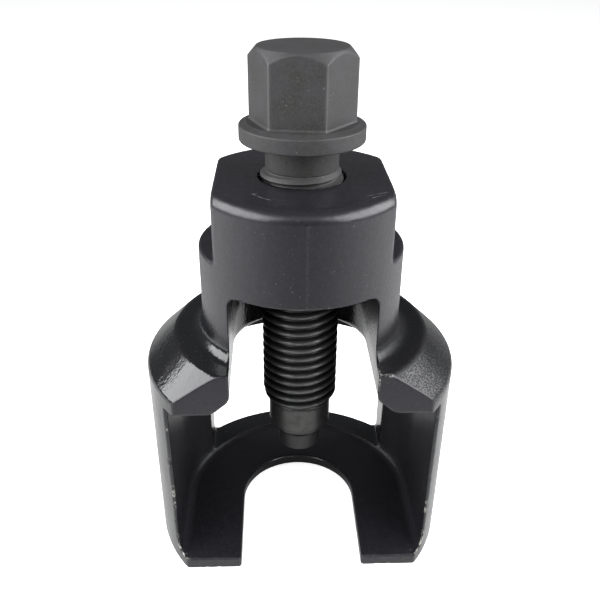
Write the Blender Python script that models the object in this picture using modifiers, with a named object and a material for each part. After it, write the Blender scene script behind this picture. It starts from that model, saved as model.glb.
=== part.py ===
"""Bell-type ball joint separator: a forged bell housing and the force screw that runs through it.

The housing is one forging. Its round boss holds the tapped hole. Below the boss the bell opens to the
front in three U-shaped tunnels, all centred on the screw's axis: a narrow window under the boss, a wide
pocket for the ball joint, and the slot of the fork that grips behind the joint. The force screw has a
blind bore in its lower end. The swivelling pressure tip plugs into it, held by a snap ring, and pushes
against a hardened ball, so the tip stands still on the ball stud while the screw turns.

The model's origin is on the screw's axis, at the pressing face of the tip. Every height below is
measured up from the underside of the fork, and an empty there, fork_datum, carries all the pieces.
"""

import math

import bmesh
import bpy

MM = 0.001

# --- Driving dimensions --------------------------------------------------------------------------------

TIP_FACE = 24.4 * MM  # height of the tip's pressing face, with the screw as it stands at rest

# Thread: coarse metric, 20 mm, right-handed. The tapped hole is the same thread with THREAD_GAP around it.
PITCH = 2.5 * MM
CREST_R = 10.0 * MM
ROOT_R = 8.5 * MM
CREST_FLAT = PITCH / 8
ROOT_FLAT = PITCH / 4
FLANK = (PITCH - CREST_FLAT - ROOT_FLAT) / 2
CREST_HEIGHT = 105.0 * MM  # middle of the uppermost crest on the +X side
THREAD_GAP = 0.3 * MM
TAPPED_BORE_R = 9.15 * MM  # crests of the tapped hole, cut back so that the screw's neck passes them

# Housing: outer form
BOSS_R = 25.5 * MM
BOSS_TOP = 103.2 * MM
BOSS_EDGE_R = 3.0 * MM
SHELF = 62.8 * MM
SHELF_FILLET_R = 3.4 * MM
SHELF_RIM_R = 32.6 * MM
BELL_R = 40.5 * MM
BELL_SHOULDER = 55.2 * MM
BELL_FOOT_R = 40.2 * MM
FOOT_CHAMFER = 0.4 * MM
FLATS_ACROSS = 42.0 * MM
FLATS_LEDGE = 86.8 * MM
FRONT = -25.2 * MM  # plane of the front faces of the arms and feet

# Housing: openings
WINDOW_HALF = 17.7 * MM
WINDOW_ROOF = 80.1 * MM
WINDOW_ROOF_R = 3.0 * MM
WINDOW_CHAMFER_H = 4.0 * MM  # chamfer between the window and the pocket's ceiling
WINDOW_CHAMFER_SIDE = 4.5 * MM
WINDOW_CHAMFER_BACK = 7.8 * MM
POCKET_HALF = 33.3 * MM
POCKET_CEILING = 51.5 * MM
POCKET_FILLET_R = 3.0 * MM
FORK_FLOOR = 3.4 * MM
FORK_SLOT_HALF = 16.3 * MM
WALL_FRONT = -21.6 * MM  # front edges of the bell's wall, set back from the arms and feet
WALL_FRONT_TOP = 51.2 * MM
WALL_CHAMFER_TOP = 7.4 * MM
BACK_WINDOW_HALF = 27.2 * MM
BACK_WINDOW_BOTTOM = 4.2 * MM  # a low sill is left across the back of the pocket's floor
BACK_WINDOW_TOP = 43.9 * MM
BACK_WINDOW_CORNER_R = 2.0 * MM
COUNTERBORE_R = 10.5 * MM
COUNTERBORE_DEPTH = 2.0 * MM

# Force screw, from the top down
HEX_ACROSS = 21.8 * MM
HEX_TURN = math.radians(-8.2)  # how far the front flat is turned from straight ahead, at rest
HEX_TOP = 132.8 * MM
HEX_TOP_R = 10.4 * MM
HEX_CHAMFER_SLOPE = 1.15
HEX_SINK = 1.0 * MM  # the hexagon reaches this far down into the collar
COLLAR_R = 14.8 * MM
COLLAR_CROWN_R = 11.6 * MM
COLLAR_CROWN = 116.5 * MM
COLLAR_TOP = 115.6 * MM
COLLAR_BOTTOM = 112.0 * MM
COLLAR_EDGE = 0.25 * MM
NECK_R = 8.75 * MM
THREAD_TOP = 105.2 * MM
THREAD_TOP_FULL = 103.9 * MM  # the thread has its full diameter between these two heights
THREAD_BOTTOM_FULL = 42.3 * MM
THREAD_BOTTOM = 38.8 * MM
CORE_R = 7.5 * MM  # solid core inside the thread, below its root
CORE_OVERLAP = 1.0 * MM  # neck and shank reach this far into the ends of the thread
SHANK_R = 8.4 * MM
SHANK_END = 30.5 * MM
SHANK_END_R = 7.1 * MM
SHANK_TAPER = 2.0 * MM

# Swivelling tip, its ball and its snap ring
RUNNING_GAP = 0.3 * MM
TIP_R = 5.9 * MM
TIP_EDGE = 0.2 * MM
TIP_SHOULDER = 29.4 * MM
STEM_R = 3.95 * MM
BALL_R = 3.95 * MM
BALL_CENTRE = 46.0 * MM
RING_WIRE_R = 0.5 * MM
RING_R = 4.2 * MM
RING_HEIGHT = 36.8 * MM
RING_OPENING = math.radians(50)
RING_GROOVE_STEM_R = 3.1 * MM
RING_GROOVE_BORE_R = 5.3 * MM

# Fineness of the facets
TURNED_STEPS = 48
SMALL_STEPS = 24
THREAD_STEPS = 18
CORNER_STEPS = 3
TUNNEL_STEPS = 20
MERGE = 0.00001

CUT_SPAN = 60 * MM  # cutters reach this far, well clear of the housing


# --- Helpers -------------------------------------------------------------------------------------------


def clear_scene():
    for item in list(bpy.data.objects):
        bpy.data.objects.remove(item, do_unlink=True)


def new_collection(name):
    collection = bpy.data.collections.new(name)
    bpy.context.scene.collection.children.link(collection)
    return collection


def new_material(name, colour, roughness, metallic):
    material = bpy.data.materials.new(name)
    material.use_nodes = True
    shader = material.node_tree.nodes["Principled BSDF"]
    shader.inputs["Base Color"].default_value = (*colour, 1.0)
    shader.inputs["Roughness"].default_value = roughness
    shader.inputs["Metallic"].default_value = metallic
    return material


def add_object(name, data, collection, datum):
    item = bpy.data.objects.new(name, data)
    item.parent = datum
    collection.objects.link(item)
    return item


def as_construction(item):
    """Mark a cutter, or a shape that is joined into another."""
    item.hide_render = True
    item.display_type = "WIRE"
    return item


def arc(centre, radii, start, end, steps=CORNER_STEPS):
    """Points along an ellipse's arc, from start to end in degrees, both ends included."""
    angles = [math.radians(start + (end - start) * i / steps) for i in range(steps + 1)]
    return [(centre[0] + radii[0] * math.cos(a), centre[1] + radii[1] * math.sin(a)) for a in angles]


def turned(name, profile, collection, datum, steps=TURNED_STEPS):
    """A solid of revolution. The profile is (radius, height) points, from the top down its outer side."""
    mesh = bpy.data.meshes.new(name)
    edges = [(i, i + 1) for i in range(len(profile) - 1)]
    mesh.from_pydata([(radius, 0.0, height) for radius, height in profile], edges, [])
    item = add_object(name, mesh, collection, datum)
    screw = item.modifiers.new("Turn", "SCREW")
    screw.angle = math.tau
    screw.steps = steps
    screw.render_steps = steps
    screw.use_merge_vertices = True
    screw.merge_threshold = MERGE
    return item


def mesh_from_bmesh(name, shape):
    bmesh.ops.recalc_face_normals(shape, faces=shape.faces)
    mesh = bpy.data.meshes.new(name)
    shape.to_mesh(mesh)
    shape.free()
    return mesh


def block(name, low, high, collection, datum):
    """A box between two opposite corners."""
    shape = bmesh.new()
    bmesh.ops.create_cube(shape, size=1.0)
    for vert in shape.verts:
        vert.co = [lo + (hi - lo) * (c + 0.5) for lo, hi, c in zip(low, high, vert.co)]
    return as_construction(add_object(name, mesh_from_bmesh(name, shape), collection, datum))


def prism(name, outline, place, near, far, collection, datum):
    """A flat outline of (u, v) points drawn out from near to far; place(u, v, w) gives each point."""
    shape = bmesh.new()
    rings = [[shape.verts.new(place(u, v, w)) for u, v in outline] for w in (near, far)]
    join_rings(shape, rings)
    return as_construction(add_object(name, mesh_from_bmesh(name, shape), collection, datum))


def join_rings(shape, rings):
    """Close a stack of rings of vertices into a solid, with flat ends."""
    for lower, upper in zip(rings, rings[1:]):
        for i in range(len(lower)):
            j = (i + 1) % len(lower)
            shape.faces.new((lower[i], lower[j], upper[j], upper[i]))
    shape.faces.new(reversed(rings[0]))
    shape.faces.new(rings[-1])


def tunnel(name, levels, collection, datum):
    """A tunnel with a rounded back, centred on the screw's axis, and straight sides that run out in front.

    levels holds (half width, reach of the back, height) from the bottom up."""
    shape = bmesh.new()
    rings = []
    for half, back, height in levels:
        outline = [(half, -CUT_SPAN), *arc((0, 0), (half, back), 0, 180, TUNNEL_STEPS), (-half, -CUT_SPAN)]
        rings.append([shape.verts.new((x, y, height)) for x, y in outline])
    join_rings(shape, rings)
    return as_construction(add_object(name, mesh_from_bmesh(name, shape), collection, datum))


def threaded_rod(name, root_r, gap, bottom, top, collection, datum):
    """A right-handed threaded rod that covers bottom to top, with its crests and flanks gap further out.

    All rods here share one helix, and a root above the flanks' foot is a wider flat.

    One pitch of the profile is swept up the helix in equal steps. The last point of a profile is the
    first point of the profile one turn further on, so the sweep closes on itself."""
    crest = CREST_R + gap
    widening = FLANK * (root_r - gap - ROOT_R) / (CREST_R - ROOT_R)
    profile = [(root_r, -widening), (root_r, ROOT_FLAT + widening),
               (crest, ROOT_FLAT + FLANK), (crest, PITCH - FLANK)]
    highest = CREST_HEIGHT - CREST_FLAT / 2 - FLANK - ROOT_FLAT
    start = highest - PITCH * (math.ceil((highest - bottom) / PITCH) + 1)
    turns = math.ceil((top - start) / PITCH)
    shape = bmesh.new()

    def swept(step, radius, rise):
        angle = math.tau * step / THREAD_STEPS
        height = start + PITCH * step / THREAD_STEPS + rise
        return shape.verts.new((radius * math.cos(angle), radius * math.sin(angle), height))

    last = turns * THREAD_STEPS
    columns = [[swept(step, *point) for point in profile] for step in range(last + 1)]
    closing = [swept(last + i, *profile[0]) for i in range(1, THREAD_STEPS + 1)]
    seam = [column[0] for column in columns] + closing
    columns = [column + [seam[step + THREAD_STEPS]] for step, column in enumerate(columns)]
    for before, after in zip(columns, columns[1:]):
        for i in range(len(profile)):
            shape.faces.new((before[i], after[i], after[i + 1], before[i + 1]))
    for column, turn, height in ((columns[0], seam[: THREAD_STEPS + 1], start),
                                 (columns[-1], seam[last:], start + PITCH * (turns + 1))):
        hub = shape.verts.new((0.0, 0.0, height))
        rim = turn + column[-2:0:-1]
        for here, there in zip(rim, rim[1:] + rim[:1]):
            shape.faces.new((hub, here, there))
    return add_object(name, mesh_from_bmesh(name, shape), collection, datum)


def combine(target, tool, operation):
    step = target.modifiers.new(f"{operation.title()} {tool.name}", "BOOLEAN")
    step.operation = operation
    step.solver = "EXACT"
    step.object = tool


# --- Bell housing --------------------------------------------------------------------------------------


def housing_profile():
    return [
        (0.0, BOSS_TOP),
        *arc((BOSS_R - BOSS_EDGE_R, BOSS_TOP - BOSS_EDGE_R), (BOSS_EDGE_R, BOSS_EDGE_R), 90, 0),
        *arc((BOSS_R + SHELF_FILLET_R, SHELF + SHELF_FILLET_R), (SHELF_FILLET_R, SHELF_FILLET_R), 180, 270),
        (SHELF_RIM_R, SHELF),
        (BELL_R, BELL_SHOULDER),
        (BELL_FOOT_R, FOOT_CHAMFER),
        (BELL_FOOT_R - FOOT_CHAMFER, 0.0),
        (0.0, 0.0),
    ]


def round_level(half, height):
    return (half, half, height)


def window_levels():
    """The window under the boss. Its lower edge is chamfered, most at the back, and its roof is rounded."""
    wide = (WINDOW_HALF + WINDOW_CHAMFER_SIDE, WINDOW_HALF + WINDOW_CHAMFER_BACK)
    roof = arc((WINDOW_HALF - WINDOW_ROOF_R, WINDOW_ROOF - WINDOW_ROOF_R),
               (WINDOW_ROOF_R, WINDOW_ROOF_R), 0, 90)
    return [
        (*wide, POCKET_CEILING - WINDOW_CHAMFER_H),
        (*wide, POCKET_CEILING),
        round_level(WINDOW_HALF, POCKET_CEILING + WINDOW_CHAMFER_H),
        *(round_level(*point) for point in roof),
    ]


def pocket_levels():
    radii = (POCKET_FILLET_R, POCKET_FILLET_R)
    inner = POCKET_HALF - POCKET_FILLET_R
    floor_fillet = arc((inner, FORK_FLOOR + POCKET_FILLET_R), radii, -90, 0)
    ceiling_fillet = arc((inner, POCKET_CEILING - POCKET_FILLET_R), radii, 0, 90)
    return [round_level(*point) for point in floor_fillet + ceiling_fillet]


def fork_slot_levels():
    return [round_level(FORK_SLOT_HALF, -FOOT_CHAMFER), round_level(FORK_SLOT_HALF, 2 * FORK_FLOOR)]


def counterbore_profile():
    """Clears the thread's upper end out of the boss's top."""
    return [(0.0, BOSS_TOP + BOSS_EDGE_R), (COUNTERBORE_R, BOSS_TOP + BOSS_EDGE_R),
            (COUNTERBORE_R, BOSS_TOP - COUNTERBORE_DEPTH), (0.0, BOSS_TOP - COUNTERBORE_DEPTH)]


def wall_front_outline():
    """(y, height) outline of what is taken off in front of the wall's front edges."""
    run = WALL_CHAMFER_TOP + FOOT_CHAMFER
    return [(WALL_FRONT, WALL_FRONT_TOP), (WALL_FRONT, WALL_CHAMFER_TOP), (WALL_FRONT - run, -FOOT_CHAMFER),
            (-CUT_SPAN, -FOOT_CHAMFER), (-CUT_SPAN, WALL_FRONT_TOP)]


def back_window_outline():
    """(x, height) outline of the opening through the bell's back wall."""
    radii = (BACK_WINDOW_CORNER_R, BACK_WINDOW_CORNER_R)
    x = BACK_WINDOW_HALF - BACK_WINDOW_CORNER_R
    low = BACK_WINDOW_BOTTOM + BACK_WINDOW_CORNER_R
    high = BACK_WINDOW_TOP - BACK_WINDOW_CORNER_R
    return [*arc((x, low), radii, 270, 360), *arc((x, high), radii, 0, 90),
            *arc((-x, high), radii, 90, 180), *arc((-x, low), radii, 180, 270)]


def build_housing(parts, cutters, datum, material):
    housing = turned("bell_housing", housing_profile(), parts, datum)
    housing.data.materials.append(material)
    flat = FLATS_ACROSS / 2
    above = BOSS_TOP + BOSS_EDGE_R
    tap = threaded_rod("tap", TAPPED_BORE_R, THREAD_GAP, WINDOW_ROOF, BOSS_TOP, cutters, datum)
    tools = [
        block("front_plane", (-CUT_SPAN, -CUT_SPAN, -FOOT_CHAMFER), (CUT_SPAN, FRONT, WINDOW_ROOF),
              cutters, datum),
        block("left_flat", (-CUT_SPAN, -CUT_SPAN, FLATS_LEDGE), (-flat, CUT_SPAN, above), cutters, datum),
        block("right_flat", (flat, -CUT_SPAN, FLATS_LEDGE), (CUT_SPAN, CUT_SPAN, above), cutters, datum),
        tunnel("pocket", pocket_levels(), cutters, datum),
        tunnel("window", window_levels(), cutters, datum),
        tunnel("fork_slot", fork_slot_levels(), cutters, datum),
        prism("wall_front", wall_front_outline(), lambda u, v, w: (w, u, v), -CUT_SPAN, CUT_SPAN,
              cutters, datum),
        prism("back_window", back_window_outline(), lambda u, v, w: (u, w, v), POCKET_HALF / 2, CUT_SPAN,
              cutters, datum),
        as_construction(turned("counterbore", counterbore_profile(), cutters, datum)),
        as_construction(tap),
    ]
    for tool in tools:
        combine(housing, tool, "DIFFERENCE")
    return housing


# --- Force screw ---------------------------------------------------------------------------------------


def spindle_profile():
    """Collar, neck, core and unthreaded end of the screw."""
    return [
        (0.0, COLLAR_CROWN),
        (COLLAR_CROWN_R, COLLAR_CROWN),
        (COLLAR_R - COLLAR_EDGE, COLLAR_TOP),
        (COLLAR_R, COLLAR_TOP - COLLAR_EDGE),
        (COLLAR_R, COLLAR_BOTTOM + COLLAR_EDGE),
        (COLLAR_R - COLLAR_EDGE, COLLAR_BOTTOM),
        (NECK_R, COLLAR_BOTTOM),
        (NECK_R, THREAD_TOP - CORE_OVERLAP),
        (CORE_R, THREAD_TOP - 2 * CORE_OVERLAP),
        (CORE_R, THREAD_BOTTOM + 2 * CORE_OVERLAP),
        (SHANK_R, THREAD_BOTTOM + CORE_OVERLAP),
        (SHANK_R, SHANK_END + SHANK_TAPER),
        (SHANK_END_R, SHANK_END),
        (0.0, SHANK_END),
    ]


def thread_envelope_profile():
    """What the thread is trimmed to: a short cone up to the neck, and a longer one at the lower end."""
    return [
        (0.0, THREAD_TOP),
        (NECK_R, THREAD_TOP),
        (CREST_R + MERGE, THREAD_TOP_FULL),
        (CREST_R + MERGE, THREAD_BOTTOM_FULL),
        (SHANK_R - RUNNING_GAP, THREAD_BOTTOM),
        (0.0, THREAD_BOTTOM),
    ]


def hexagon_envelope_profile():
    """What the hexagon is trimmed to: a flat top with a turned chamfer that cuts its corners."""
    drop = HEX_CHAMFER_SLOPE * (COLLAR_R - HEX_TOP_R)
    return [(0.0, HEX_TOP), (HEX_TOP_R, HEX_TOP), (COLLAR_R, HEX_TOP - drop),
            (COLLAR_R, COLLAR_CROWN - HEX_SINK), (0.0, COLLAR_CROWN - HEX_SINK)]


def hexagon_outline():
    corner_r = HEX_ACROSS / 2 / math.cos(math.radians(30))
    angles = [math.radians(60 * i) + HEX_TURN for i in range(6)]
    return [(corner_r * math.cos(a), corner_r * math.sin(a)) for a in angles]


def blind_bore_profile():
    """The bore in the screw's lower end: a rounded seat for the ball, and a groove for the snap ring."""
    bore_r = STEM_R + RUNNING_GAP
    groove_half = RING_WIRE_R + RUNNING_GAP
    seat = arc((0, BALL_CENTRE), (bore_r, bore_r), 90, 0, 2 * CORNER_STEPS)
    return [
        (0.0, BALL_CENTRE + bore_r),
        *seat[1:],
        (bore_r, RING_HEIGHT + groove_half),
        (RING_GROOVE_BORE_R, RING_HEIGHT + groove_half),
        (RING_GROOVE_BORE_R, RING_HEIGHT - groove_half),
        (bore_r, RING_HEIGHT - groove_half),
        (bore_r, SHANK_END - RUNNING_GAP),
        (0.0, SHANK_END - RUNNING_GAP),
    ]


def build_screw(parts, cutters, datum, material):
    screw = threaded_rod("force_screw", ROOT_R, 0.0, THREAD_BOTTOM, THREAD_TOP, parts, datum)
    screw.data.materials.append(material)
    envelope = as_construction(turned("thread_envelope", thread_envelope_profile(), cutters, datum))
    spindle = as_construction(turned("spindle", spindle_profile(), cutters, datum))
    hexagon = prism("hexagon", hexagon_outline(), lambda u, v, w: (u, v, w), COLLAR_CROWN - 2 * HEX_SINK,
                    HEX_TOP + HEX_SINK, cutters, datum)
    hex_envelope = as_construction(turned("hexagon_envelope", hexagon_envelope_profile(), cutters, datum))
    bore = as_construction(turned("blind_bore", blind_bore_profile(), cutters, datum, SMALL_STEPS))
    combine(hexagon, hex_envelope, "INTERSECT")
    combine(screw, envelope, "INTERSECT")
    combine(screw, spindle, "UNION")
    combine(screw, hexagon, "UNION")
    combine(screw, bore, "DIFFERENCE")
    return screw


# --- Swivelling tip ------------------------------------------------------------------------------------


def tip_profile():
    groove_half = RING_WIRE_R + RUNNING_GAP
    stem_top = BALL_CENTRE - BALL_R - RUNNING_GAP
    return [
        (0.0, stem_top),
        (STEM_R - TIP_EDGE, stem_top),
        (STEM_R, stem_top - TIP_EDGE),
        (STEM_R, RING_HEIGHT + groove_half),
        (RING_GROOVE_STEM_R, RING_HEIGHT + groove_half),
        (RING_GROOVE_STEM_R, RING_HEIGHT - groove_half),
        (STEM_R, RING_HEIGHT - groove_half),
        (STEM_R, TIP_SHOULDER),
        (TIP_R, TIP_SHOULDER),
        (TIP_R, TIP_FACE + TIP_EDGE),
        (TIP_R - TIP_EDGE, TIP_FACE),
        (0.0, TIP_FACE),
    ]


def build_tip(parts, datum, material):
    tip = turned("pressure_tip", tip_profile(), parts, datum, SMALL_STEPS)
    tip.data.materials.append(material)
    return tip


def build_ball(parts, datum, material):
    shape = bmesh.new()
    bmesh.ops.create_uvsphere(shape, u_segments=SMALL_STEPS, v_segments=SMALL_STEPS // 2, radius=BALL_R)
    ball = add_object("thrust_ball", mesh_from_bmesh("thrust_ball", shape), parts, datum)
    ball.location.z = BALL_CENTRE
    ball.data.materials.append(material)
    return ball


def build_snap_ring(parts, datum, material):
    """A round-wire ring with an opening, so that it can be squeezed into its grooves."""
    wire = bpy.data.curves.new("retaining_ring", "CURVE")
    wire.dimensions = "3D"
    wire.bevel_depth = RING_WIRE_R
    wire.bevel_resolution = 2
    wire.use_fill_caps = True
    spline = wire.splines.new("POLY")
    spline.points.add(SMALL_STEPS)
    start = RING_OPENING / 2
    sweep = math.tau - RING_OPENING
    for i, point in enumerate(spline.points):
        angle = start + sweep * i / SMALL_STEPS
        point.co = (RING_R * math.cos(angle), RING_R * math.sin(angle), 0.0, 1.0)
    ring = add_object("retaining_ring", wire, parts, datum)
    ring.location.z = RING_HEIGHT
    ring.data.materials.append(material)
    return ring


# --- Assembly ------------------------------------------------------------------------------------------


def shade_smooth(item, angle_degrees=35.0):
    item.data.shade_smooth()
    item.data.set_sharp_from_angle(angle=math.radians(angle_degrees))


def main():
    clear_scene()
    parts = new_collection("ball_joint_separator")
    cutters = new_collection("construction")
    datum = bpy.data.objects.new("fork_datum", None)
    datum.location.z = -TIP_FACE
    parts.objects.link(datum)

    black_coat = new_material("black_coat", (0.018, 0.018, 0.020), 0.38, 0.0)
    phosphated_steel = new_material("phosphated_steel", (0.075, 0.075, 0.080), 0.55, 0.6)
    hardened_steel = new_material("hardened_steel", (0.11, 0.11, 0.11), 0.42, 0.8)
    bright_steel = new_material("bright_steel", (0.55, 0.55, 0.56), 0.2, 1.0)

    build_housing(parts, cutters, datum, black_coat)
    build_screw(parts, cutters, datum, phosphated_steel)
    build_tip(parts, datum, hardened_steel)
    ball = build_ball(parts, datum, bright_steel)
    build_snap_ring(parts, datum, bright_steel)
    shade_smooth(ball)


main()
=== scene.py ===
"""Looks of the ball joint separator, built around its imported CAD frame.

The bell housing is drawn as a distance field, rounded and filleted like a forging, meshed on a grid and
thinned. The screw, the tip, the ball and the snap ring are turned meshes with fine threads and rounded edges.
Shapes are in millimetres and measured up from the fork's underside, as the CAD is; meshes are in metres.
"""

import math

import bpy
import numpy as np
from mathutils import Matrix, Vector


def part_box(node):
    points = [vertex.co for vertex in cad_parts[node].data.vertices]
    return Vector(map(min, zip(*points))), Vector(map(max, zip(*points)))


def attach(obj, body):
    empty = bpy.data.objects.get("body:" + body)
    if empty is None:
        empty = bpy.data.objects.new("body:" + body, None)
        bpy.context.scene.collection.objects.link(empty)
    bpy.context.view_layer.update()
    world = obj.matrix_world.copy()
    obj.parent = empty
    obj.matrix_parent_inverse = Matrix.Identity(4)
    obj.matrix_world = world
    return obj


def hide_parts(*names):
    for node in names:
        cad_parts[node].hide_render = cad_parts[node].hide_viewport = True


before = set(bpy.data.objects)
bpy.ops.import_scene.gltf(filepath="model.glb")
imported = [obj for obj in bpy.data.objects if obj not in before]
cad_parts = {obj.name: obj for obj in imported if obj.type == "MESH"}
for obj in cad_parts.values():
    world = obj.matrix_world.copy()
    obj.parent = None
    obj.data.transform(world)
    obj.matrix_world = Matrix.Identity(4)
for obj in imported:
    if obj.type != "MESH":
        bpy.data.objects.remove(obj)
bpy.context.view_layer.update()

MM = 0.001
HOUSING_LOW, HOUSING_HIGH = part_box("bell_housing")
SCREW_LOW, SCREW_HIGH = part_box("force_screw")
TIP_LOW, TIP_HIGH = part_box("pressure_tip")
BALL_LOW, BALL_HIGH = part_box("thrust_ball")
RING_LOW, RING_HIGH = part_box("retaining_ring")
FORK_UNDERSIDE = HOUSING_LOW.z


def height_of(z):
    """Height above the fork's underside, in millimetres, of a place in the frame."""
    return (z - FORK_UNDERSIDE) / MM


# --- Shape of the housing, in millimetres --------------------------------------------------------------

BOSS_R, BOSS_TOP = 25.5, height_of(HOUSING_HIGH.z)
BOSS_EDGE, BOSS_BACK_EDGE = 3.0, 1.2  # rounding of the boss's top in front, and behind
SHELF, SHELF_FILLET, SHELF_RIM_R, SHELF_RIM_EDGE = 62.8, 3.4, 32.6, 0.6
BELL_R, BELL_SHOULDER, BELL_SHOULDER_EDGE, BELL_FOOT_R = HOUSING_HIGH.x / MM, 55.2, 0.6, 40.2
FRONT = HOUSING_LOW.y / MM
FLAT_HALF, FLAT_LEDGE, FLAT_CORNER, FLAT_EDGE = 21.0, 86.8, 0.7, 0.9
WINDOW_HALF, WINDOW_ROOF, WINDOW_CORNER = 17.7, 80.1, 3.0
WINDOW_CHAMFER_H, WINDOW_CHAMFER_SIDE, WINDOW_CHAMFER_BACK = 4.0, 4.5, 7.8
POCKET_HALF, POCKET_CEILING, POCKET_CORNER = 33.3, 51.5, 3.0
CHAMFER_TOP_ROUND, CHAMFER_FOOT_ROUND = 0.9, 0.7  # where the window's chamfer runs out, above and below
FORK_FLOOR, FORK_SLOT_HALF = 3.4, 16.3
WALL_FRONT, WALL_FRONT_TOP, WALL_CHAMFER_TOP = -21.6, 51.2, 7.4
BACK_WINDOW_HALF, BACK_WINDOW_BOTTOM, BACK_WINDOW_TOP, BACK_WINDOW_CORNER = 27.2, 4.2, 43.9, 2.0
COUNTERBORE_R, COUNTERBORE_DEPTH, COUNTERBORE_EDGE = 10.5, 2.0, 0.15
TAPPED_BORE_R, THREAD_GAP = 9.15, 0.3
EDGE, FOOT_EDGE, SLOT_EDGE = 0.4, 0.4, 0.8  # rounding of the forging's other edges

# --- Shape of the screw and the tip, in millimetres ----------------------------------------------------

PITCH, CREST_R, ROOT_R = 2.5, 10.0, 8.5
CREST_FLAT, ROOT_FLAT = PITCH / 8, PITCH / 4
WORN_CREST_FLAT = 0.22 * PITCH  # the screw's own crests are worn broader than the tapped hole's
CREST_HEIGHT = 105.0  # where one of the crests passes the +X side
HEX_HALF, HEX_TURN, HEX_TOP = 10.9, math.radians(-8.2), height_of(SCREW_HIGH.z)
HEX_TOP_R, HEX_TOP_EDGE, HEX_CHAMFER_SLOPE = 10.4, 0.5, 1.15
HEX_CORNER, HEX_CORNER_R, HEX_FOOT_FILLET = 0.2, HEX_HALF / math.cos(math.pi / 6), 0.35
CORNER_HIGHLIGHT, CORNER_HIGHLIGHT_FADE = 0.22, 0.15  # how far in from a corner the hexagon's painted highlight reaches, and how softly it fades
COLLAR_R, COLLAR_TOP, COLLAR_BOTTOM, COLLAR_EDGE = 14.8, 115.6, 112.0, 0.4
COLLAR_RIM_R = COLLAR_R - 2 * COLLAR_EDGE  # where the collar's top meets its rounded edge
PAD_R, PAD_TOP, PAD_STEP, PAD_FOOT = 12.95, 116.3, 0.7, 116.0  # the round pad that the hexagon stands on
NECK_R, THREAD_TOP, THREAD_TOP_FULL = 8.75, 105.2, 103.9
NECK_GROOVE_R, NECK_GROOVE = 8.6, 0.35  # the tool's mark where the neck meets the thread's end cone
NECK_FILLET, GROOVE_EDGE = 0.6, 0.1
OILED_TOP = 102.6  # the thread's first turn, above this, is as dry as the head
THREAD_BOTTOM_FULL, THREAD_BOTTOM, THREAD_FOOT_R = 42.3, 38.8, 8.1
SHANK_R, SHANK_END_R, SHANK_TAPER, SHANK_ROUND = 8.4, 7.1, 2.0, 0.8
SHANK_END = height_of(SCREW_LOW.z)
BALL_R = (BALL_HIGH.x - BALL_LOW.x) / 2 / MM
BALL_CENTRE = height_of((BALL_LOW.z + BALL_HIGH.z) / 2)
RUNNING_GAP = 0.3
STEM_R, STEM_TOP, TIP_SHOULDER = 3.95, height_of(TIP_HIGH.z), 29.4
TIP_R, TIP_FACE = TIP_HIGH.x / MM, height_of(TIP_LOW.z)
WIRE_R = (RING_HIGH.z - RING_LOW.z) / 2 / MM
RING_R, RING_HEIGHT, RING_OPENING = 4.2, height_of((RING_LOW.z + RING_HIGH.z) / 2), math.radians(50)
GROOVE_STEM_R, GROOVE_BORE_R = 3.1, 5.3
GROOVE_LOW, GROOVE_HIGH = RING_HEIGHT - WIRE_R - RUNNING_GAP, RING_HEIGHT + WIRE_R + RUNNING_GAP

# --- Fineness ------------------------------------------------------------------------------------------

GRID, SLAB = 0.5, 24  # spacing of the housing's grid, and how many of its layers are worked out at once
HOUSING_TRIANGLES = 190000
SCREW_COLUMNS, SMALL_COLUMNS = 120, 72  # faces round the screw, and round the tip and the ball
LATHE_STEP, HEX_TOP_STEP, HEX_ROWS = 0.6, 0.25, 40
THREAD_ROW = 0.13  # height of one row of faces on the thread
THREAD_SOFTNESS, THREAD_END_SOFTNESS = 0.06, 0.08  # how far a thread's corners are blended


# --- Distance fields -----------------------------------------------------------------------------------
# A field is below zero inside its shape and grows with the distance from its surface.


def rounded_meet(a, b, radius):
    """What two shapes share, with its edge rounded."""
    corner = np.hypot(np.maximum(radius + a, 0.0), np.maximum(radius + b, 0.0))
    return np.minimum(-radius, np.maximum(a, b)) + corner


def filleted_join(a, b, radius):
    """Two shapes joined, with a fillet where they meet."""
    corner = np.hypot(np.maximum(radius - a, 0.0), np.maximum(radius - b, 0.0))
    return np.maximum(radius, np.minimum(a, b)) - corner


def cut(shape, tool, radius=EDGE):
    """The shape without the tool's space, with the edge between them rounded."""
    return rounded_meet(shape, -tool, radius)


def slope_field(r, h, start, end):
    """Signed distance from the line through two (radius, height) points, above zero on its right side."""
    run, rise = end[0] - start[0], end[1] - start[1]
    return ((h - start[1]) * run - (r - start[0]) * rise) / math.hypot(run, rise)


def thread_radius(x, y, h, root, gap=0.0, crest_flat=CREST_FLAT):
    """Radius of the thread at each point. Its crests and root are blended softly into the flanks."""
    flank_width = (PITCH - crest_flat - ROOT_FLAT) / 2
    turn = np.arctan2(y, x) / math.tau
    phase = (h - CREST_HEIGHT) / PITCH - turn
    from_crest = np.abs(phase - np.round(phase)) * PITCH
    flank = CREST_R + gap - (from_crest - crest_flat / 2) * (CREST_R - ROOT_R) / flank_width
    capped = soft_least(flank, CREST_R + gap, THREAD_SOFTNESS)
    return -soft_least(-capped, -root, THREAD_SOFTNESS)


def soft_least(a, b, width):
    """The smaller of two values, rounded over where they cross."""
    mix = np.clip(0.5 + 0.5 * (b - a) / width, 0.0, 1.0)
    return b + (a - b) * mix - width * mix * (1.0 - mix)


def tunnel_reach(x, y):
    """Distance from the middle of a tunnel that is straight in front and round at its back."""
    return np.where(y < 0.0, np.abs(x), np.hypot(x, y))


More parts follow.
